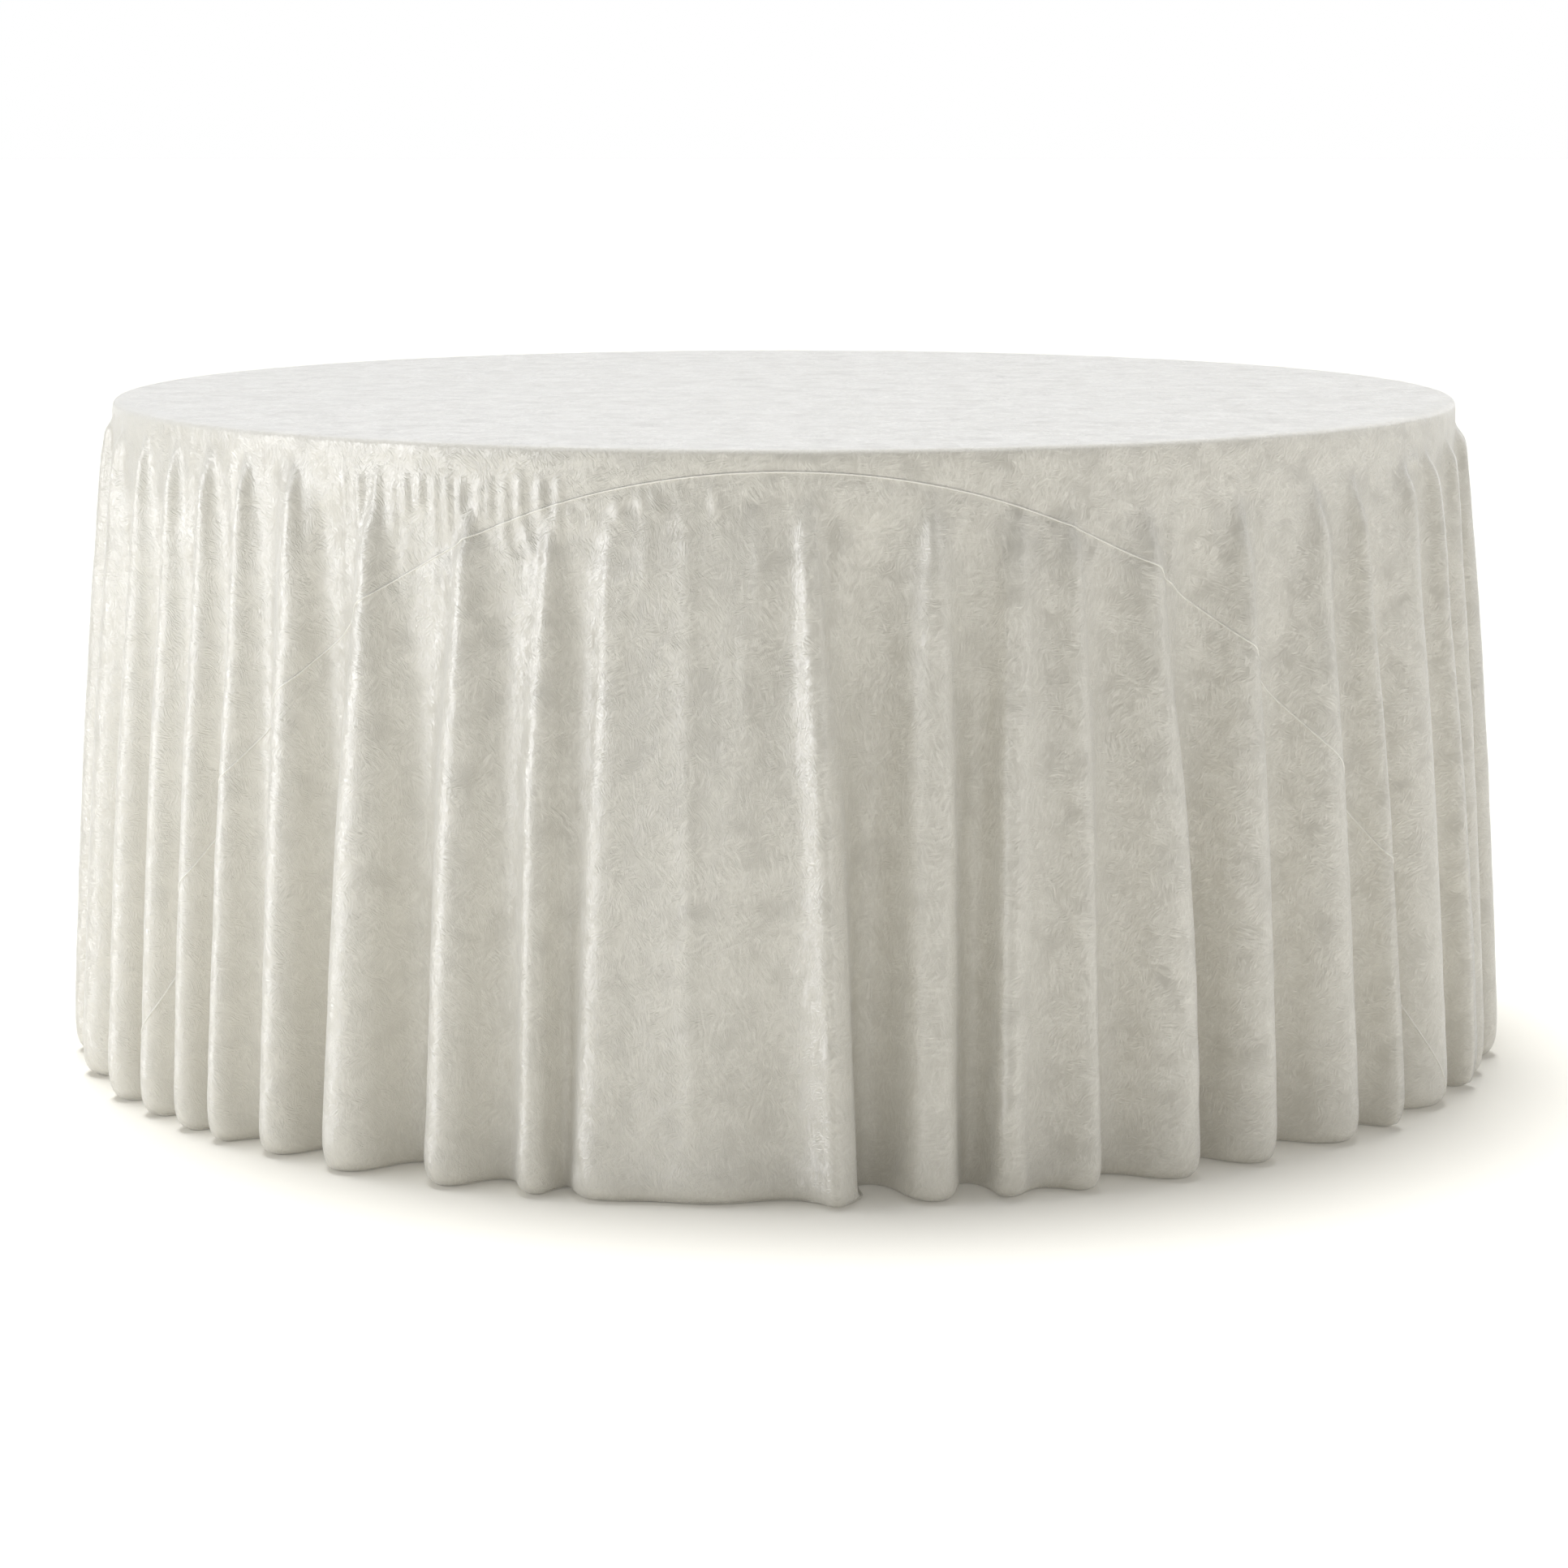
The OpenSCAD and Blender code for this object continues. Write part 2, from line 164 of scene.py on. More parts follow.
class Folds:
    """Half folds round the table: their bounds at the floor and at the edge, and their curves."""

    def __init__(self):
        plan = fold_plan()
        self.count = 2 * len(plan)
        self.flatness, depth, hem = [], [], [plan[0][0]]
        for i, (_, crest, deep, flatness) in enumerate(plan):
            last = i == len(plan) - 1
            after = plan[0][0] + 360 if last else plan[i + 1][0]
            self.flatness += [flatness] * 2
            depth += [deep, plan[0 if last else i + 1][2]]
            hem += [crest, after]
        self.hem = np.array(hem) * RAD
        depth = np.array(depth) * 1e-3
        self.flat = self.share_cloth(plan, depth)

    def share_cloth(self, plan, depth):
        """Bounds of the half folds on the flat cloth: deep folds take more cloth."""
        width = np.diff(self.hem) * FOLDS_R
        curves = [half_fold_curves(flatness) for flatness in self.flatness]
        fixed = dict(ANCHORS)
        for valley, *_ in plan:
            if ANCHOR_GAP < valley - max(fixed) and valley < LAST_ANCHOR:
                fixed[valley] = valley
        groups = [i for i, fold in enumerate(plan) if fold[0] in fixed] + [len(plan)]
        tops = [fixed[plan[i][0]] for i in groups[:-1]]
        tops.append(tops[0] + 360)
        flat = [tops[0] * RAD]
        for g, (first, last) in enumerate(zip(groups[:-1], groups[1:])):
            ids = range(2 * first, 2 * last)
            share = (tops[g + 1] - tops[g]) * RAD
            girth = EDGE_RHO + DROP * fullness((tops[g] + tops[g + 1]) / 2 * RAD)
            low, high = 0.3, 5.0
            for _ in range(40):
                scale = (low + high) / 2
                cloth = [cloth_in_half_fold(width[i], scale * depth[i], curves[i]) for i in ids]
                low, high = (low, scale) if sum(cloth) > share * girth else (scale, high)
            flat += list(flat[-1] + np.cumsum(cloth) / sum(cloth) * share)
        return np.array(flat)


def reach_at(drop):
    """Greatest distance of the cloth from the axis, a length of cloth below the edge."""
    return EDGE_REACH + FLARE * (max(drop, 0) / DROP) ** 0.59


def ring_radii():
    """Flat radius of every ring: close together at the edge and at the hem, wider between."""
    edge = np.linspace(BEND_RHO, EDGE_RHO, 5)
    gaps = []
    while sum(gaps) < DROP:
        drop = sum(gaps)
        gaps.append(min(0.006 + 0.068 * drop, 0.030, 0.008 + 0.15 * (DROP - drop)))
    gaps = np.array(gaps) * DROP / sum(gaps)
    return np.concatenate([edge, EDGE_RHO + np.cumsum(gaps)])


def solve_folds(folds, bounds, curves, drop):
    """Greatest heading and depth of every half fold, so that each ring has all its cloth."""
    reach = reach_at(drop)
    middle = reach - 0.01
    for _ in range(3):
        headings, depths = [], []
        for i, (forward, inward) in enumerate(curves):
            girth = EDGE_RHO + drop * fullness((folds.flat[i] + folds.flat[i + 1]) / 2)
            cloth = girth * (folds.flat[i + 1] - folds.flat[i])
            share = min(1.0, (bounds[i + 1] - bounds[i]) * middle / cloth)
            heading = np.interp(-share, -forward[:, -1], HEADINGS)
            headings.append(heading)
            depths.append(cloth * np.interp(heading, HEADINGS, inward[:, -1]))
        middle = reach - 0.5 * np.mean(depths)
    return headings, depths


def curve_at(curves, heading):
    """The way forward and inward along a half fold of this greatest heading."""
    place = heading / HEADINGS[1]
    k = min(int(place), len(HEADINGS) - 2)
    return [c[k] * (1 - place + k) + c[k + 1] * (place - k) for c in curves]


def ring_shape(folds, rho, alpha):
    """Distance from the axis and azimuth of every point of one hanging ring."""
    drop = rho - EDGE_RHO
    bounds = folds.flat + (folds.hem - folds.flat) * (drop / DROP) ** 0.8
    # crests are narrow at the edge of the table and round lower down
    rounding = smooth_step(drop / 0.30)
    curves = [half_fold_curves(NARROW + (flatness - NARROW) * rounding)
              for flatness in folds.flatness]
    headings, depths = solve_folds(folds, bounds, curves, drop)
    r, azimuth = np.empty_like(alpha), np.empty_like(alpha)
    cell = np.searchsorted(folds.flat, alpha, side="right") - 1
    for i in range(folds.count):
        here = np.nonzero(cell == i)[0]
        after_crest = i % 2 == 1
        # a valley is shared with the half fold on its other side
        other = (i + 1) % folds.count if after_crest else i - 1
        depth = (depths[i] + depths[other]) / 2
        t = (alpha[here] - folds.flat[i]) / (folds.flat[i + 1] - folds.flat[i])
        crest, valley = (bounds[i], bounds[i + 1]) if after_crest else (bounds[i + 1], bounds[i])
        t = t if after_crest else 1 - t
        ahead, inner = curve_at(curves[i], headings[i])
        azimuth[here] = crest + (valley - crest) * np.interp(t, STEPS, ahead) / ahead[-1]
        r[here] = reach_at(drop) - depth * np.interp(t, STEPS, inner) / max(inner[-1], 1e-9)
    return r, azimuth


def smooth_step(x):
    x = np.clip(x, 0, 1)
    return x * x * (3 - 2 * x)


def hug_at(alpha):
    """How far below the edge the cloth lies on the rim, in metres."""
    degrees = (np.degrees(alpha) + 180) % 360 - 180
    return np.interp(degrees, *zip(*HUG)) * 1e-3


def fullness(alpha):
    """Share of a full circle of cloth that hangs here."""
    degrees = (np.degrees(alpha) + 180) % 360 - 180
    return np.interp(degrees, *zip(*FULLNESS))


def turned_ring(rho):
    """Distance from the axis and height of a ring where the cloth turns over the edge."""
    turn = (rho - BEND_RHO) / TURN_R
    return BEND_RHO + TURN_R * math.sin(turn), TOP_Z - ROUND + TURN_R * math.cos(turn)


def hung_ring(folds, rho, alpha, hug):
    """A ring below the edge: flat on the rim at first, then open in its folds."""
    drop = rho - EDGE_RHO
    r, azimuth = ring_shape(folds, rho, alpha)
    # full folds open at once, a straight tube of cloth leaves the rim slowly
    opening = 0.012 + 1.6 * hug + 0.4 * (1 - fullness(alpha)) ** 2
    free = smooth_step((drop - hug) / opening)
    # each ridge tapers to a point where it leaves the rim
    taper = 1 + 3.5 * (1 - smooth_step((drop - hug) / 0.13))
    crest = reach_at(drop) - WALL_R
    tapered = WALL_R + crest * (np.maximum(r - WALL_R, 0) / crest) ** taper
    r = np.where(r > WALL_R, tapered, r)
    # below the rim the valleys go in under it
    tucked = max(0.0, drop - (TOP_Z - RIM_Z)) * 0.3
    r = np.maximum(WALL_R + (r - WALL_R) * free, WALL_R + 0.0005 - tucked)
    # the hem turns in
    r = r - HEM_TURN * smooth_step((drop - DROP + 0.022) / 0.022)
    return r, alpha + (azimuth - alpha) * free


def first_shape(rho, alpha):
    """Every ring in its folds, each drop line exactly as long as its cloth."""
    folds = Folds()
    points = np.zeros((len(rho), len(alpha), 3))
    hug = hug_at(alpha)
    for j, q in enumerate(rho):
        hangs = q - EDGE_RHO >= 1e-9
        if hangs:
            r, azimuth = hung_ring(folds, q, alpha, hug)
        else:
            turned, z = turned_ring(q)
            r, azimuth = np.full_like(alpha, turned), alpha
        points[j, :, 0], points[j, :, 1] = r * np.sin(azimuth), -r * np.cos(azimuth)
        if hangs:
            across = ((points[j, :, :2] - points[j - 1, :, :2]) ** 2).sum(-1)
            step = (q - rho[j - 1]) * TAKE_UP
            down = np.maximum(step ** 2 - across, (MIN_LEAN * step) ** 2)
            z = points[j - 1, :, 2] - np.sqrt(down)
        points[j, :, 2] = z
    return points


# --- Cloth solver ---------------------------------------------------------

GRAVITY = 9.81
PILE_PUSH = 0.3          # outward push of the pile, metres per second squared
KEPT_SPEED = 0.5         # share of the speed that each step keeps
MOST_SPEED = 0.6         # metres per second


def pull(a, b, rest, stretch, press):
    """Half of the move that brings two sets of points to their distance at rest."""
    d = b - a
    length = np.sqrt(np.einsum("...i,...i->...", d, d)) + 1e-9
    error = (length - rest) / length
    return (np.where(error > 0, error * stretch, error * press) * 0.5)[..., None] * d


def hang_drop_lines(y, gaps, held, fixed, first_free):
    """Each point below the edge goes to its distance under the one above it."""
    for i in range(len(gaps)):
        d = y[i + 1] - y[i]
        length = np.sqrt((d * d).sum(-1)) + 1e-9
        y[i + 1] -= ((length - gaps[i]) / length)[:, None] * d
        if i + 1 < first_free:
            np.copyto(y[i + 1], held[i + 1], where=fixed[i + 1])


def close_rings(y, rest, press):
    """Neighbours round a ring go to their distance at rest, even and odd pairs in turn."""
    for _ in range(2):
        for a, b, length in ((y[:, 0::2], y[:, 1::2], rest[:, 0::2]),
                             (y[:, 1:-1:2], y[:, 2::2], rest[:, 1:-1:2])):
            move = pull(a, b, length, 1.0, press)
            a += move
            b -= move
        move = pull(y[:, -1], y[:, 0], rest[:, -1], 1.0, press[:, 0])
        y[:, -1] += move
        y[:, 0] -= move


def resist_shear(y, diagonal):
    """The diagonals of the weave go towards their length."""
    for shift in (1, -1):
        move = 0.5 * pull(y[:-1], np.roll(y[1:], -shift, axis=1), diagonal, 0.3, 0.15)
        y[:-1] += move
        y[1:] -= np.roll(move, shift, axis=1)


def resist_bending(y):
    """Takes sharp bends out, round the rings and down the drop lines."""
    for stride, amount in ((1, 0.010), (2, 0.004)):
        curve = np.roll(y, stride, 1) + np.roll(y, -stride, 1) - 2 * y
        y -= amount * (np.roll(curve, stride, 1) + np.roll(curve, -stride, 1) - 2 * curve)
    curve = 0.03 * (y[2:] + y[:-2] - 2 * y[1:-1])
    y[1:-1] += 2 * curve
    y[:-2] -= curve
    y[2:] -= curve


def keep_apart(y, offsets, gap=0.012):
    """Walls of a fold that come too close round the ring push each other away."""
    for offset in offsets:
        d = np.roll(y, -offset, axis=1) - y
        length = np.sqrt(np.einsum("...i,...i->...", d, d)) + 1e-9
        move = (0.5 * np.minimum(length - gap, 0) / length)[..., None] * d
        y += move
        y -= np.roll(move, offset, axis=1)


def meet_table_and_floor(y, before):
    """Nothing goes through the rim or the floor, and the floor holds back what lies on it."""
    r = np.sqrt(y[..., 0] ** 2 + y[..., 1] ** 2)
    on_rim = (y[..., 2] > RIM_Z - 0.002) & (r < WALL_R)
    y[..., :2] *= np.where(on_rim, WALL_R / r, 1.0)[..., None]
    hit = y[..., 2] < FLOOR_Z
    y[..., 2] = np.where(hit, FLOOR_Z, y[..., 2])
    y[..., :2] += np.where(hit, 0.35, 0.0)[..., None] * (before[..., :2] - y[..., :2])


def settle(points, rho, alpha, steps=20, sweeps=4):
    """Lets the hanging cloth come to rest under its weight, heavily damped."""
    dt = 1 / 60
    gaps = np.diff(rho) * np.where(rho[1:] > EDGE_RHO + 1e-6, TAKE_UP, 1.0)
    drawn = 1 - HEM_DRAW * smooth_step((rho - CLOTH_R + HEM_BAND) / HEM_BAND)
    girth = rho[:, None] + np.maximum(rho - EDGE_RHO, 0)[:, None] * (fullness(alpha) - 1)
    rest = girth * drawn[:, None] * TURN / SECTORS
    diagonal = np.sqrt(gaps[:, None] ** 2 + ((rest[:-1] + rest[1:]) / 2) ** 2)
    press = np.clip((rho - EDGE_RHO) / 0.03, 0.05, 1.0)[:, None]
    fixed = ((rho[:, None] - EDGE_RHO) <= np.maximum(hug_at(alpha), 0.008)[None, :])[..., None]
    first_free = int(np.nonzero(fixed.any(axis=(1, 2)))[0][-1]) + 2
    # the pleats at the edge are set in the cloth, and the solver hardly opens them
    firm = (0.5 * smooth_step((0.17 - rho + EDGE_RHO) / 0.13) ** 2)[:, None, None]
    held, x, speed = points.copy(), points.copy(), np.zeros_like(points)
    for step in range(steps):
        y = x + speed * dt * KEPT_SPEED
        y[..., 2] -= GRAVITY * dt * dt
        # the stiff pile holds the skirt out a little
        y[..., :2] *= 1 + PILE_PUSH * dt * dt / np.hypot(x[..., 0], x[..., 1])[..., None]
        for sweep in range(sweeps):
            hang_drop_lines(y, gaps, held, fixed, first_free)
            close_rings(y, rest, press)
            resist_shear(y, diagonal)
            resist_bending(y)
            if sweep % 2 == 0:
                keep_apart(y, (5 + (3 * step + sweep) % 4, 9 + (step + sweep) % 5,
                               14 + (2 * step + sweep) % 8, 22 + (step + sweep) % 9))
            y += firm * (held - y)
            meet_table_and_floor(y, x)
            np.copyto(y, held, where=fixed)
        speed = (y - x) / dt
        fast = np.sqrt((speed * speed).sum(-1, keepdims=True)) + 1e-9
        speed *= np.minimum(1.0, MOST_SPEED / fast)
        x = y
    return x


# --- Finer grid -----------------------------------------------------------

def halve_rows(a):
    """Cubic points halfway between rows."""
    pad = np.concatenate([2 * a[:1] - a[1:2], a, 2 * a[-1:] - a[-2:-1]])
    mid = (9 * (pad[1:-2] + pad[2:-1]) - pad[:-3] - pad[3:]) / 16
    out = np.empty((2 * len(a) - 1,) + a.shape[1:])
    out[0::2], out[1::2] = a, mid
    return out


def halve_sectors(a):
    """Cubic points halfway between the drop lines."""
    mid = (9 * (a + np.roll(a, -1, 1)) - np.roll(a, 1, 1) - np.roll(a, -2, 1)) / 16
    out = np.empty((a.shape[0], 2 * a.shape[1]) + a.shape[2:])
    out[:, 0::2], out[:, 1::2] = a, mid
    return out


def wander(x, step, seed):
    """Smooth seeded value between -1 and 1 that changes over a length step."""
    values = np.random.default_rng(seed).uniform(-1, 1, 4096)
    k = np.floor(x / step).astype(int)
    t = smooth_step(x / step - k)
    return values[k % 4096] * (1 - t) + values[(k + 1) % 4096] * t


def window(x, low, high, soft):
    """1 between two bounds and 0 outside, with soft ends."""
    return smooth_step((x - low) / soft) * smooth_step((high - x) / soft)


def outward(grid):
    """Unit normals of the grid, away from the table."""
    down = np.gradient(grid, axis=0)
    along = (np.roll(grid, -1, 1) - np.roll(grid, 1, 1)) / 2
    n = np.cross(along, -down)
    return n / (np.linalg.norm(n, axis=-1, keepdims=True) + 1e-12)


def lattice(x, y, size, seed):
    """Smooth seeded value between -1 and 1 over the flat cloth, in blobs of this size."""
    values = np.random.default_rng(seed).uniform(-1, 1, (256, 256))
    i, j = np.floor(x / size).astype(int), np.floor(y / size).astype(int)
    u, v = smooth_step(x / size - i), smooth_step(y / size - j)
    i, j, i2, j2 = i % 256, j % 256, (i + 1) % 256, (j + 1) % 256
    return ((values[i, j] * (1 - u) + values[i2, j] * u) * (1 - v)
            + (values[i, j2] * (1 - u) + values[i2, j2] * u) * v)


def crease_crests(grid, drop, stride=3, amount=0.8):
    """Crests of the folds stand out most where they bend most."""
    out = outward(grid)
    apart = grid - (np.roll(grid, stride, 1) + np.roll(grid, -stride, 1)) / 2
    bend = np.maximum((apart * out).sum(-1), 0)
    return grid + (amount * bend * smooth_step(drop / 0.03))[..., None] * out


FAR = 8    # keeps every place on the cloth above zero for the crinkle


def crinkle(x, y):
    """Low relief of the crushing, in metres."""
    turned, across = 0.8 * x + 0.6 * y, 0.8 * y - 0.6 * x
    return (0.00040 * lattice(turned, across * 0.7, 0.034, 41)
            + 0.00024 * lattice(x, y * 0.6, 0.017, 42)
            + 0.00012 * lattice(turned * 0.8, across, 0.0095, 43))


def gather_plan():
    """Seeded short gathers under the edge of the table, in the form of RIDGES."""
    rng = np.random.default_rng(11)
    plan = list(RIDGES)
    # first and last azimuth, spacing, and the ranges of start, end, height and half width
    bands = [(-35.0, -15.5, 1.38, (14, 22), (70, 104), (2.6, 4.2), (4.4, 5.6)),
             (17.0, 70.0, 2.9, (24, 50), (90, 210), (0.5, 1.1), (8, 13)),
             (100.0, 165.0, 2.3, (14, 40), (70, 180), (0.6, 1.8), (6, 11)),
             (168.0, 215.0, 1.7, (14, 24), (60, 130), (1.2, 2.6), (5, 7)),
             (218.0, 268.0, 2.6, (10, 24), (70, 200), (0.6, 1.6), (6, 11))]
    for first, last, step, starts, ends, heights, widths in bands:
        azimuth = first
        while azimuth < last:
            place = azimuth + rng.uniform(-0.2, 0.2) * step
            plan.append((place, place, rng.uniform(*starts), rng.uniform(*ends),
                         rng.uniform(*heights), rng.uniform(*widths)))
            azimuth += step * rng.uniform(0.85, 1.15)
    return plan


def add_ridges(lift, grid, drop):
    """Ridges and gathers, each along its own line down the skirt."""
    hung, reach = np.arctan2(grid[..., 0], -grid[..., 1]), np.hypot(grid[..., 0], grid[..., 1])
    for top, bottom, start, end, height, half in gather_plan():
        line = (top + (bottom - top) * drop / DROP) * RAD
        away = ((hung - line + math.pi) % TURN - math.pi) * reach
        # steeper on the right than on the left
        profile = np.exp(-(away / (half * 1e-3 * np.where(away > 0, 0.75, 1.2))) ** 2)
        fade = window(drop, start * 1e-3, end * 1e-3, min(0.02 + 0.1 * (end - start) * 1e-3, 0.06))
        lift = lift + height * 1e-3 * profile * fade
    return lift


def add_puckers(lift, flat_x, flat_y, drop):
    """Seeded puckers beside both seams, and the line that the stitching draws in."""
    rng = np.random.default_rng(17)
    beyond = np.abs(flat_y) - SEAM_Y
    side = np.sign(flat_y)
    for x in np.arange(-0.62, 0.62, 0.026):
        for sign in (-1, 1):
            place, length = x + rng.uniform(-0.007, 0.007), rng.uniform(0.022, 0.055)
            height, half = rng.uniform(0.0006, 0.0022), rng.uniform(0.0042, 0.0060)
            profile = np.exp(-((flat_x - place) / half) ** 2) * (side == sign)
            lift = lift + height * profile * window(beyond, 0.002, length, 0.012)
    lift = lift - 0.0005 * np.exp(-(beyond / 0.006) ** 2)
    uneven = wander(flat_x + 10, 0.009, 26) * (drop > 0.01)
    return lift + 0.0004 * np.exp(-(beyond / 0.010) ** 2) * uneven


def add_relief(grid, rho, alpha):
    """Relief that is finer than the solver's grid: crushing, gathers and seam puckers."""
    drop = (rho - EDGE_RHO)[:, None]
    flat_x, flat_y = rho[:, None] * np.sin(alpha), -rho[:, None] * np.cos(alpha)
    lift = add_ridges(crinkle(flat_x + FAR, flat_y + FAR), grid, drop)
    lift = add_puckers(lift, flat_x, flat_y, drop)
    return grid + (lift * smooth_step((drop + 0.002) / 0.01))[..., None] * outward(grid)


def drape():
    """Flat radii, flat azimuths and points of the finished skirt."""
    rho = ring_radii()
    start = FRONT_FOLDS[0][0] * RAD
    alpha = start + (np.arange(SECTORS) + 0.5) * TURN / SECTORS
    points = first_shape(rho, alpha)
    points = settle(points, rho, alpha)
    points = halve_sectors(halve_rows(points))
    rho = halve_rows(rho)
    alpha = start + (np.arange(2 * SECTORS) / 2 + 0.5) * TURN / SECTORS
    for _ in range(2):
        # below the turn over the edge, neighbours even out
        uneven = np.roll(points, 1, 1) + np.roll(points, -1, 1) - 2 * points
        points[12:] += 0.25 * uneven[12:]
    points = crease_crests(points, (rho - EDGE_RHO)[:, None])
    points = add_relief(points, rho, alpha)
    points[..., 2] = np.maximum(points[..., 2], FLOOR_Z)
    return rho, alpha, points


# --- Meshes ---------------------------------------------------------------

def make_mesh(name, points, faces, flat=None, smooth=True):
    """A mesh object from points and lists of faces; flat is each point's place on the flat cloth."""
    used = np.zeros(len(points), bool)
    for face in faces:
        used[np.asarray(face).ravel()] = True
    new = np.cumsum(used) - 1
    corners = np.concatenate([new[np.asarray(f).ravel()] for f in faces])
    totals = np.concatenate([np.full(len(f), len(f[0])) for f in faces])
    mesh = bpy.data.meshes.new(name)
    mesh.vertices.add(int(used.sum()))
    mesh.vertices.foreach_set("co", points[used].astype(np.float32).ravel())
    mesh.loops.add(len(corners))
    mesh.loops.foreach_set("vertex_index", corners.astype(np.int32))
    mesh.polygons.add(len(totals))
    starts = np.concatenate([[0], np.cumsum(totals)[:-1]])
    mesh.polygons.foreach_set("loop_start", starts.astype(np.int32))
    mesh.polygons.foreach_set("loop_total", totals.astype(np.int32))
    if flat is not None:
        layer = mesh.uv_layers.new(name="flat")
        layer.data.foreach_set("uv", flat[used][corners].astype(np.float32).ravel())
    mesh.update(calc_edges=True)
    mesh.validate()
    mesh.polygons.foreach_set("use_smooth", np.full(len(mesh.polygons), smooth))
    piece = bpy.data.objects.new(name, mesh)
    bpy.context.scene.collection.objects.link(piece)
    return piece


def grid_faces(rows, columns):
    """Quads of a grid that closes round its rows, outside to the front."""
    ids = np.arange(rows * columns).reshape(rows, columns)
    a, b = ids[:-1], ids[1:]
    return np.stack([a, b, np.roll(b, -1, 1), np.roll(a, -1, 1)], -1).reshape(-1, 4)


def tube(name, line, normal, wide, high, lift, closed, flat=None, around=8):
    """A rounded cord that follows a line: half width, half height and lift along each point."""
    if closed:
        tangent = np.roll(line, -1, 0) - np.roll(line, 1, 0)
    else:
        tangent = np.gradient(line, axis=0)
    tangent /= np.linalg.norm(tangent, axis=-1, keepdims=True)
    side = np.cross(normal, tangent)
    side /= np.linalg.norm(side, axis=-1, keepdims=True)
    up = np.cross(tangent, side)
    angle = np.arange(around) * TURN / around
    points = (line[:, None] + lift * up[:, None]
              + (wide[:, None] * np.cos(angle))[..., None] * side[:, None]
              + (high[:, None] * np.sin(angle))[..., None] * up[:, None])
    count = len(line)
    ids = np.arange(count * around).reshape(count, around)
    a, b = (ids, np.roll(ids, -1, 0)) if closed else (ids[:-1], ids[1:])
    quads = np.stack([a, b, np.roll(b, -1, 1), np.roll(a, -1, 1)], -1).reshape(-1, 4)
    faces = [quads] if closed else [quads, ids[:1], ids[-1:, ::-1]]
    uv = None if flat is None else np.repeat(flat, around, axis=0)
    return make_mesh(name, points.reshape(-1, 3), faces, uv)


def top_rings(alpha):
    """Rings over the flat top, from the turn of the edge to the middle, with fewer sectors inwards."""
    rings = [(np.full(len(alpha), BEND_RHO), alpha)]
    r, count = BEND_RHO, len(alpha)
    while r > 0.06:
        r -= 0.009 if r > 0.735 else 0.024
        if count > 90 and TURN * r / count < 0.0048:
            count //= 2
        rings.append((np.full(count, r), alpha[:: len(alpha) // count]))
    return rings


def top_sheet(alpha, first):
    """Points and faces of the flat top; its outer ring is the skirt's first one."""
    points, quads, tris = [], [], []
    outer = np.arange(len(alpha))
    index = first
    for r, a in top_rings(alpha)[1:]:
        x, y = r * np.sin(a), -r * np.cos(a)
        swell = 0.00025 * (np.sin(9 * x + 3 * y) + np.sin(5 * x - 13 * y + 1.3))
        swell = swell + crinkle(x + FAR, y + FAR)
        z = TOP_Z + TOP_LIFT + swell * smooth_step((BEND_RHO - r) / 0.05)
        points.append(np.stack([x, y, z], -1))
        inner = index + np.arange(len(a))
        index += len(a)
        nxt = np.roll(inner, -1)
        if len(inner) == len(outer):
            quads.append(np.stack([inner, outer, np.roll(outer, -1), nxt], -1))
        else:
            o0, o1, o2 = outer[0::2], outer[1::2], np.roll(outer, -2)[0::2]
            tris += [np.stack([inner, o0, o1], -1), np.stack([inner, o1, nxt], -1),
                     np.stack([nxt, o1, o2], -1)]
        outer = inner
    points.append(np.array([[0, 0, TOP_Z + TOP_LIFT]]))
    tris.append(np.stack([np.full(len(outer), index), outer, np.roll(outer, -1)], -1))
    return np.concatenate(points), np.concatenate(quads), np.concatenate(tris)


def clip(face, side, height, points, flat, cuts):
    """The part of a face on one side of a seam; cut edges share their new point."""
    kept = []
    for a, b in zip(face, face[1:] + face[:1]):
        inside_a, inside_b = side * height[a] >= 0, side * height[b] >= 0
        if inside_a:
            kept.append(a)
        if inside_a != inside_b and height[a] != 0 and height[b] != 0:
            key = (min(a, b), max(a, b))
            if key not in cuts:
                t = height[key[0]] / (height[key[0]] - height[key[1]])
                points.append(points[key[0]] * (1 - t) + points[key[1]] * t)
                flat.append(flat[key[0]] * (1 - t) + flat[key[1]] * t)
                cuts[key] = len(points) - 1
            kept.append(cuts[key])
    return kept


def cut_panels(points, flat, faces):
    """Cuts the cloth along both seams: faces of the front, centre and back panels."""
    panels = {"front": [], "centre": [], "back": []}
    odd = {name: [] for name in panels}
    beyond = np.where(flat[:, 1] < 0, -SEAM_Y - flat[:, 1], flat[:, 1] - SEAM_Y)
    beyond[np.abs(beyond) < 2e-5] = 0.0
    behind = flat[:, 1] > 0
    height = list(beyond)
    points, flat, cuts = list(points), list(flat), {}
    for group in faces:
        over = beyond[group]
        inside, outside = (over <= 0).all(1), (over >= 0).all(1)
        back = behind[group[:, 0]]
        panels["centre"].append(group[inside])
        panels["front"].append(group[outside & ~inside & ~back])
        panels["back"].append(group[outside & ~inside & back])
        for face in group[~inside & ~outside].tolist():
            name = "back" if behind[face[0]] else "front"
            for target, side in ((name, 1), ("centre", -1)):
                part = clip(face, side, height, points, flat, cuts)
                height += [0.0] * (len(points) - len(height))
                if len(part) > 2:
                    odd[target].append(part)
    result = {}
    for name, groups in panels.items():
        by_size = {}
        for part in odd[name]:
            by_size.setdefault(len(part), []).append(part)
        result[name] = [g for g in groups if len(g)] + [np.array(v) for v in by_size.values()]
    return np.array(points), np.array(flat), result


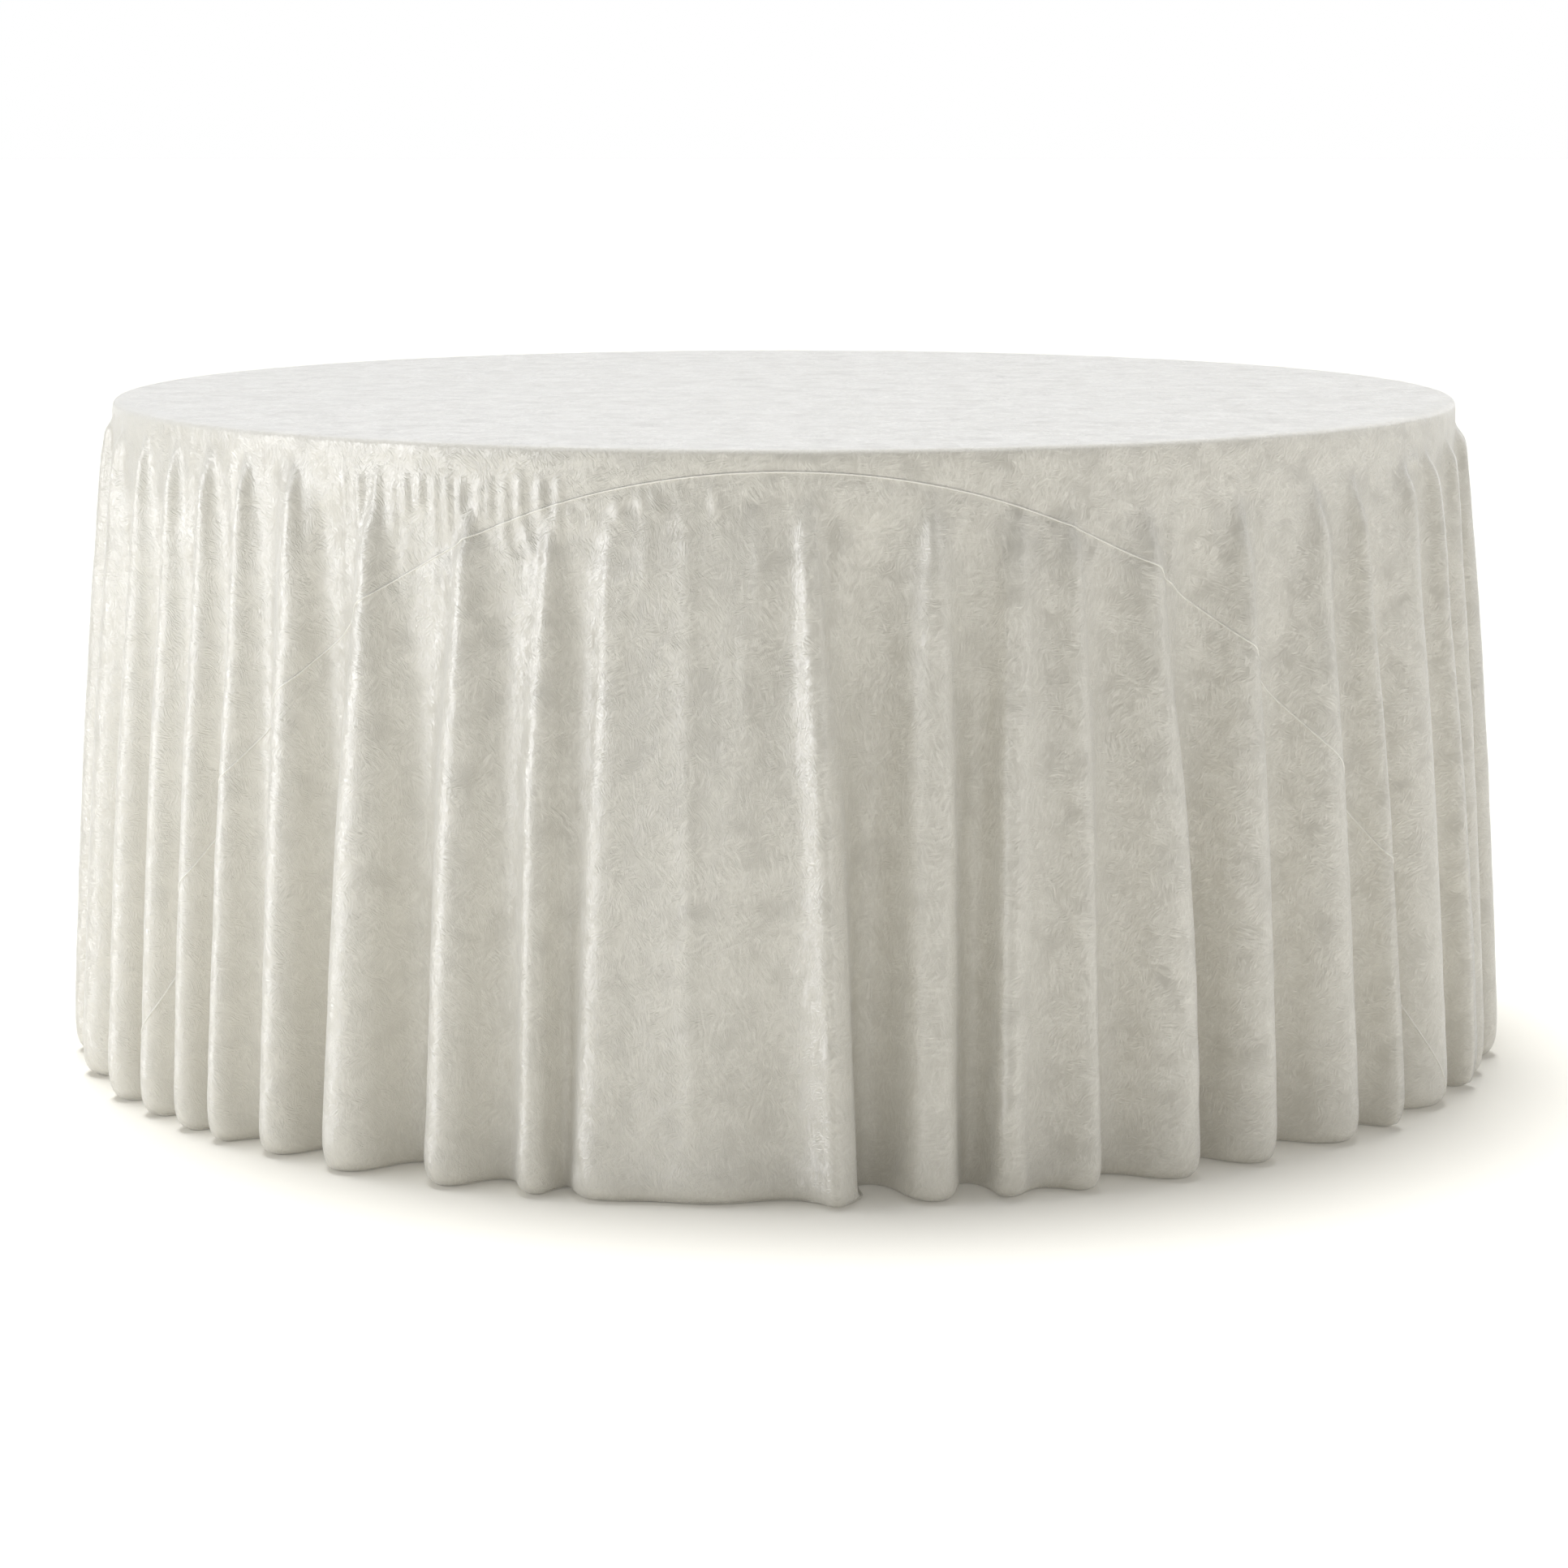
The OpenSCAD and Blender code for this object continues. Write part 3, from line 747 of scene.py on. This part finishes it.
def seam_line(grid, normals, rho, alpha, sign):
    """Points, normals and flat places along a seam, from the grid of the skirt."""
    half = math.sqrt(CLOTH_R ** 2 - SEAM_Y ** 2) - 0.002
    x = np.linspace(-half, half, int(2 * half / SEAM_STEP))
    r = np.hypot(x, SEAM_Y)
    a = np.arctan2(x, -sign * SEAM_Y)
    a = (a - alpha[0]) % TURN + alpha[0]
    j = np.clip(np.searchsorted(rho, r) - 1, 0, len(rho) - 2)
    v = ((r - rho[j]) / (rho[j + 1] - rho[j]))[:, None]
    place = (a - alpha[0]) / (TURN / len(alpha))
    i = np.floor(place).astype(int) % len(alpha)
    i2 = (i + 1) % len(alpha)
    u = (place - np.floor(place))[:, None]
    out = []
    for field in (grid, normals):
        out.append((field[j, i] * (1 - u) + field[j, i2] * u) * (1 - v)
                   + (field[j + 1, i] * (1 - u) + field[j + 1, i2] * u) * v)
    return out[0], out[1], np.stack([x, np.full_like(x, sign * SEAM_Y)], -1)


def make_seam(name, grid, normals, rho, alpha, sign):
    """A low cord that swells at every stitch; sign is -1 for the front seam, 1 for the back."""
    line, normal, flat = seam_line(grid, normals, rho, alpha, sign)
    along = np.arange(len(line)) * SEAM_STEP
    stitch = 0.5 + 0.5 * np.cos(TURN * along / STITCH)
    wide = 0.00095 + 0.00015 * stitch
    high = 0.00065 + 0.00025 * stitch
    wide[[0, -1]] *= 0.4
    high[[0, -1]] *= 0.4
    return tube(name, line, normal, wide, high, 0.0002, False, flat)


def make_hem(grid, normals, alpha):
    """The rolled hem, a little uneven, along the last ring."""
    line, normal = grid[-1], normals[-1]
    flat = np.stack([CLOTH_R * np.sin(alpha), -CLOTH_R * np.cos(alpha)], -1)
    soft = 1 + 0.06 * wander(alpha * CLOTH_R + 10, 0.02, 31)
    radius = HEM_R * soft / 1.06
    return tube("rolled_hem", line, normal, radius, radius, 0.0, True, flat)


def make_cloth():
    """The three panels, two seams and hem, in their place on the table."""
    rho, alpha, grid = drape()
    normals = outward(grid)
    rows, columns = grid.shape[:2]
    skirt = grid.reshape(-1, 3)
    top, quads, tris = top_sheet(alpha, len(skirt))
    points = np.concatenate([skirt, top])
    flat = np.concatenate([
        np.stack([rho[:, None] * np.sin(alpha), -rho[:, None] * np.cos(alpha)], -1).reshape(-1, 2),
        top[:, :2]])
    faces = [grid_faces(rows, columns), quads, tris]
    points, flat, parts = cut_panels(points, flat, faces)
    pieces = {name: make_mesh("velvet_%s_panel" % name, points, part, flat)
              for name, part in parts.items()}
    pieces["front_seam"] = make_seam("stitched_front_seam", grid, normals, rho, alpha, -1)
    pieces["back_seam"] = make_seam("stitched_back_seam", grid, normals, rho, alpha, 1)
    pieces["hem"] = make_hem(grid, normals, alpha)
    return pieces


# --- Materials ------------------------------------------------------------

class Nodes:
    """Short way to write a node material."""

    def __init__(self, name):
        self.material = bpy.data.materials.new(name)
        self.material.use_nodes = True
        self.tree = self.material.node_tree
        self.shader = self.tree.nodes["Principled BSDF"]

    def add(self, kind, inputs=(), **settings):
        node = self.tree.nodes.new("ShaderNode" + kind)
        for key, value in settings.items():
            setattr(node, key, value)
        for key, value in dict(inputs).items():
            socket = node.inputs[key]
            if isinstance(value, bpy.types.NodeSocket):
                self.tree.links.new(value, socket)
            else:
                socket.default_value = value
        return node

    def maths(self, operation, a, b=0.0, c=0.0):
        return self.add("Math", {0: a, 1: b, 2: c}, operation=operation).outputs[0]

    def noise(self, vector, scale, detail=2.0, rough=0.5):
        return self.add("TexNoise", {"Vector": vector, "Scale": scale, "Detail": detail,
                                     "Roughness": rough}).outputs["Fac"]

    def spread(self, value, low, high, to_low=0.0, to_high=1.0):
        return self.add("MapRange", {"Value": value, "From Min": low, "From Max": high,
                                     "To Min": to_low, "To Max": to_high}).outputs[0]

    def mix(self, fac, a, b):
        return self.add("Mix", {0: fac, 6: a, 7: b}, data_type="RGBA").outputs[2]

    def stretched(self, vector, angle, long, short):
        """Coordinates along and across a direction, for strokes of this length and width."""
        turned = self.add("Mapping", {"Vector": vector, "Rotation": (0, 0, angle),
                                      "Scale": (long, short, 1)}, vector_type="TEXTURE")
        return turned.outputs[0]

    def bump(self, height, strength, distance, normal=None):
        inputs = {"Height": height, "Strength": strength, "Distance": distance}
        if normal is not None:
            inputs["Normal"] = normal
        return self.add("Bump", inputs).outputs[0]

    def finish(self, **inputs):
        for key, value in inputs.items():
            socket = self.shader.inputs[key.replace("_", " ")]
            if isinstance(value, bpy.types.NodeSocket):
                self.tree.links.new(value, socket)
            else:
                socket.default_value = value
        return self.material


def crush_strokes(n, place, long, wide, patch_scale):
    """Pile brushed in short strokes: each patch of the cloth has strokes of its own direction."""
    total = None
    for k, angle in enumerate((1.57, 1.05, 2.15, 0.25)):
        strokes = n.noise(n.stretched(place, angle, long, wide), 1.0, 2.0, 0.55)
        strokes = n.spread(strokes, 0.36, 0.68)
        shifted = n.add("Mapping", {"Vector": place, "Location": (3.1 * k, 1.7 * k, 0)}).outputs[0]
        patch = n.spread(n.noise(shifted, patch_scale, 2.0), 0.42, 0.58)
        layer = n.maths("MULTIPLY", strokes, patch)
        total = layer if total is None else n.maths("MAXIMUM", total, layer)
    return total


def warped(n, place, scale, amount):
    """Coordinates pushed about by a soft noise, so strokes and patches curve."""
    push = n.add("TexNoise", {"Vector": place, "Scale": scale, "Detail": 1.0}).outputs["Color"]
    centred = n.add("VectorMath", {0: push, 1: (0.5, 0.5, 0.5)}, operation="SUBTRACT").outputs[0]
    moved = n.add("VectorMath", {0: centred, 1: (amount, amount, 0), 2: place},
                  operation="MULTIPLY_ADD")
    return moved.outputs[0]


def top_crush_and_painted_glints(n, place, colour):
    """Crush strokes on the table's flat top, with painted glints: long pale and dull strokes."""
    middle = n.add("VectorMath", {0: place}, operation="LENGTH").outputs["Value"]
    # the painted glints lie only on the flat top and fade out near its edge
    painted_glint_area = n.spread(middle, 0.735, 0.77, 1.0, 0.0)
    strokes = n.spread(crush_strokes(n, place, 0.026, 0.0046, 22.0), 0.1, 0.8)
    # pale strokes are a painted glint of the pile; the dull ones keep the mean tone
    crush_and_glint_colour = n.mix(strokes, (0.685, 0.668, 0.622, 1), (0.93, 0.915, 0.865, 1))
    return n.mix(n.maths("MULTIPLY", painted_glint_area, 0.55), colour, crush_and_glint_colour)


def velvet(name, light, dark, lean=0.09, relief=0.0006, crush_and_painted_glints_on_top=False):
    """Crushed velvet: strokes of pile, each with its own tone, gloss and lean."""
    n = Nodes(name)
    place = warped(n, n.add("UVMap", uv_map="flat").outputs[0], 45.0, 0.009)
    fine = crush_strokes(n, place, 0.0078, 0.0017, 38.0)
    broad = crush_strokes(n, place, 0.014, 0.0036, 24.0)
    clouds = n.noise(place, 9.0, 2.0, 0.5)
    tone = n.maths("MULTIPLY_ADD", fine, 0.45, n.maths("MULTIPLY", broad, 0.45))
    tone = n.maths("MULTIPLY_ADD", n.maths("SUBTRACT", clouds, 0.5), 0.25, tone)
    colour = n.mix(n.spread(tone, 0.1, 0.75), dark, light)
    # painted glints on the flat top, over the crush strokes
    if crush_and_painted_glints_on_top:
        colour = top_crush_and_painted_glints(n, place, colour)
    # the pile leans its own way in every stroke
    leaning = n.add("CombineColor", {
        0: n.spread(fine, 0.1, 0.9, 0.5 - lean, 0.5 + lean),
        1: n.spread(broad, 0.1, 0.9, 0.5 + 0.7 * lean, 0.5 - 0.7 * lean), 2: 1.0}).outputs[0]
    leaned = n.add("NormalMap", {"Color": leaning}, space="TANGENT", uv_map="flat").outputs[0]
    normal = n.bump(n.maths("MULTIPLY_ADD", broad, 0.45, fine), 0.6, relief, leaned)
    rough = n.spread(tone, 0.1, 0.75, 0.48, 0.34)
    return n.finish(Base_Color=colour, Roughness=rough, Normal=normal, IOR=1.6,
                    Specular_IOR_Level=0.75, Sheen_Weight=0.5, Sheen_Roughness=0.4,
                    Sheen_Tint=(1, 1, 1, 1))


def moulded_plastic():
    n = Nodes("pebbled_plastic")
    place = n.add("TexCoord").outputs["Object"]
    pebble = n.add("TexVoronoi", {"Vector": place, "Scale": 420.0}, feature="SMOOTH_F1").outputs[0]
    soft = n.noise(place, 7.0, 3.0)
    dust = n.noise(place, 60.0, 4.0, 0.65)
    colour = n.mix(n.spread(soft, 0.3, 0.7), (0.73, 0.73, 0.70, 1), (0.79, 0.79, 0.765, 1))
    colour = n.mix(n.spread(dust, 0.62, 0.8, 0, 0.35), colour, (0.62, 0.61, 0.57, 1))
    normal = n.bump(pebble, 0.4, 0.0006)
    return n.finish(Base_Color=colour, Roughness=n.spread(dust, 0.3, 0.7, 0.42, 0.62), Normal=normal,
                    Specular_IOR_Level=0.45)


def painted_steel():
    n = Nodes("hammered_paint")
    place = n.add("TexCoord").outputs["Object"]
    cells = n.add("TexVoronoi", {"Vector": place, "Scale": 260.0}, feature="SMOOTH_F1").outputs[0]
    soft = n.noise(place, 9.0, 3.0)
    worn = n.noise(place, 38.0, 6.0, 0.7)
    colour = n.mix(soft, (0.235, 0.24, 0.25, 1), (0.30, 0.305, 0.315, 1))
    colour = n.mix(n.spread(worn, 0.66, 0.72, 0, 0.7), colour, (0.45, 0.45, 0.44, 1))
    return n.finish(Base_Color=colour, Metallic=0.35, Roughness=n.spread(worn, 0.3, 0.8, 0.32, 0.52),
                    Normal=n.bump(cells, 0.35, 0.0012))


def zinc():
    n = Nodes("zinc_plate")
    place = n.add("TexCoord").outputs["Object"]
    spangle = n.add("TexVoronoi", {"Vector": place, "Scale": 190.0}).outputs["Color"]
    scratches = n.noise(n.stretched(place, 0.4, 0.03, 0.0008), 1.0, 3.0)
    value = n.add("SeparateColor", {"Color": spangle}).outputs[0]
    colour = n.mix(value, (0.58, 0.59, 0.61, 1), (0.74, 0.75, 0.77, 1))
    return n.finish(Base_Color=colour, Metallic=1.0, Roughness=n.spread(scratches, 0.3, 0.7, 0.28, 0.46),
                    Normal=n.bump(scratches, 0.15, 0.0003))


def dull(name, low, high, grain_scale, rough):
    """Rubber, nylon and black plastic: mottled, with a fine grain."""
    n = Nodes(name)
    place = n.add("TexCoord").outputs["Object"]
    grain = n.noise(place, grain_scale, 3.0, 0.6)
    colour = n.mix(n.spread(n.noise(place, 25.0, 4.0), 0.35, 0.7), low, high)
    return n.finish(Base_Color=colour, Roughness=n.spread(grain, 0.3, 0.7, rough - 0.08, rough + 0.08),
                    Normal=n.bump(grain, 0.4, 0.0004), Specular_IOR_Level=0.4)


def dress_table():
    """Materials for the CAD nodes that stay in sight."""
    plastic, steel, metal = moulded_plastic(), painted_steel(), zinc()
    rubber = dull("grey_rubber", (0.045, 0.045, 0.047, 1), (0.075, 0.074, 0.072, 1), 700.0, 0.72)
    black = dull("black_plastic", (0.018, 0.018, 0.019, 1), (0.03, 0.03, 0.031, 1), 500.0, 0.5)
    nylon = dull("white_nylon", (0.62, 0.61, 0.57, 1), (0.70, 0.69, 0.65, 1), 450.0, 0.45)
    # the first kind that fits a node's name
    kinds = (("screws bolts rivets brackets", metal), ("caps", black),
             ("table_top underside", plastic), ("rail axle tubes bars links", steel),
             ("feet", rubber), ("bushes", nylon))
    for name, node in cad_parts.items():
        material = next((kind for words, kind in kinds
                         if any(word in name for word in words.split())), metal)
        node.data.materials.clear()
        node.data.materials.append(material)


# --- Studio ---------------------------------------------------------------

CAMERA_PLACE = (0, -4.666, 1.083)
CAMERA_TILT = 9.73       # degrees below level
LENS, SENSOR = 92.83, 36.0
ROOM_LIGHT = 0.175       # strength of the white room on the cloth


def studio_floor():
    """A wide pale floor just under the feet and the hem."""
    edge, z = 60.0, -0.0002
    corners = np.array([[-edge, -edge, z], [edge, -edge, z], [edge, edge, z], [-edge, edge, z]])
    floor = make_mesh("studio_floor", corners, [np.array([[0, 1, 2, 3]])], smooth=False)
    n = Nodes("pale_floor")
    place = n.add("TexCoord").outputs["Object"]
    cloud = n.noise(place, 1.2, 2.0)
    floor.data.materials.append(n.finish(
        Base_Color=n.mix(cloud, (0.895, 0.87, 0.80, 1), (0.905, 0.88, 0.81, 1)), Roughness=0.8,
        Specular_IOR_Level=0.1, Emission_Color=(1, 0.99, 0.95, 1), Emission_Strength=0.10))


def sun(name, azimuth, elevation, softness, strength, colour, lights="all"):
    """Soft light from a direction, its azimuth from the front and right positive. It lights the
    gloss of things, their body colour or all."""
    light = bpy.data.lights.new(name, "SUN")
    light.angle, light.energy, light.color = softness * RAD, strength, colour
    lamp = bpy.data.objects.new(name, light)
    lamp.visible_diffuse, lamp.visible_glossy = lights != "gloss", lights != "body"
    a, e = azimuth * RAD, elevation * RAD
    towards = Vector((math.sin(a) * math.cos(e), -math.cos(a) * math.cos(e), math.sin(e)))
    lamp.rotation_euler = towards.to_track_quat("Z", "Y").to_euler()
    lamp.location = towards * 6
    bpy.context.scene.collection.objects.link(lamp)


def softbox(name, azimuth, away, height, size, power, colour):
    """Square lamp beside the table, turned to the cloth at half its height."""
    light = bpy.data.lights.new(name, "AREA")
    light.shape, light.size, light.energy, light.color = "SQUARE", size, power, colour
    lamp = bpy.data.objects.new(name, light)
    lamp.visible_camera = False
    a = azimuth * RAD
    lamp.location = (away * math.sin(a), -away * math.cos(a), height)
    towards = lamp.location - Vector((0, 0, TOP_Z / 2))
    lamp.rotation_euler = towards.to_track_quat("Z", "Y").to_euler()
    bpy.context.scene.collection.objects.link(lamp)


def studio_world():
    """White behind everything, and a dimmer room for what the light falls on."""
    world = bpy.data.worlds.new("studio")
    world.use_nodes = True
    tree = world.node_tree
    background = tree.nodes["Background"]
    seen = tree.nodes.new("ShaderNodeLightPath").outputs["Is Camera Ray"]
    strength = tree.nodes.new("ShaderNodeMapRange")
    strength.inputs["To Min"].default_value = ROOM_LIGHT
    strength.inputs["To Max"].default_value = 1.0
    tree.links.new(seen, strength.inputs["Value"])
    tree.links.new(strength.outputs[0], background.inputs["Strength"])
    background.inputs["Color"].default_value = (1, 1, 1, 1)
    bpy.context.scene.world = world


def studio():
    """Floor, room, lamps and the camera at the height and angle of the photograph."""
    studio_floor()
    studio_world()
    cool, warm = (0.97, 0.972, 1.0), (1.0, 0.955, 0.90)
    sun("overhead", -160, 77, 26, 3.15, (0.96, 0.975, 1.0), "body")
    softbox("side_left", -57, 1.95, 0.6, 0.9, 4.5, (0.93, 0.96, 1.0))
    sun("side_far_left", -105, 14, 40, 0.05, cool)
    sun("side_right", 85, 12, 50, 0.52, cool)
    sun("fill_front", 8, 10, 60, 0.10, warm)
    sun("gloss_left", -80, 7, 18, 2.2, cool, "gloss")
    sun("gloss_rear", 165, 13, 80, 1.6, cool, "gloss")
    bpy.context.scene.view_settings.view_transform = "Standard"
    data = bpy.data.cameras.new("camera")
    data.lens, data.sensor_width = LENS, SENSOR
    camera = bpy.data.objects.new("camera", data)
    camera.location = CAMERA_PLACE
    camera.rotation_euler = ((90 - CAMERA_TILT) * RAD, 0, 0)
    bpy.context.scene.collection.objects.link(camera)
    bpy.context.scene.camera = camera


# --- Assembly -------------------------------------------------------------

def dress_cloth():
    """Makes the cloth, gives each piece its material, hangs it on the cloth's body and hides the CAD
    node that it stands for.
    """
    pieces = make_cloth()
    ivory = velvet("ivory_crushed_velvet", (0.845, 0.823, 0.757, 1), (0.722, 0.697, 0.628, 1),
                   crush_and_painted_glints_on_top=True)
    # the seams are paler than the cloth: a painted highlight along their raised cords
    seam_highlight_velvet = velvet("ivory_seam_painted_highlight", (0.93, 0.915, 0.86, 1), (0.88, 0.86, 0.80, 1),
                    lean=0.03, relief=0.0003)
    nodes = {"front": "front_panel", "centre": "centre_panel", "back": "back_panel",
             "front_seam": "front_seam", "back_seam": "back_seam", "hem": "hem"}
    for key, piece in pieces.items():
        piece.data.materials.append(seam_highlight_velvet if "seam" in key else ivory)
        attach(piece, "cloth")
        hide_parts(nodes[key])


dress_table()
dress_cloth()
studio()
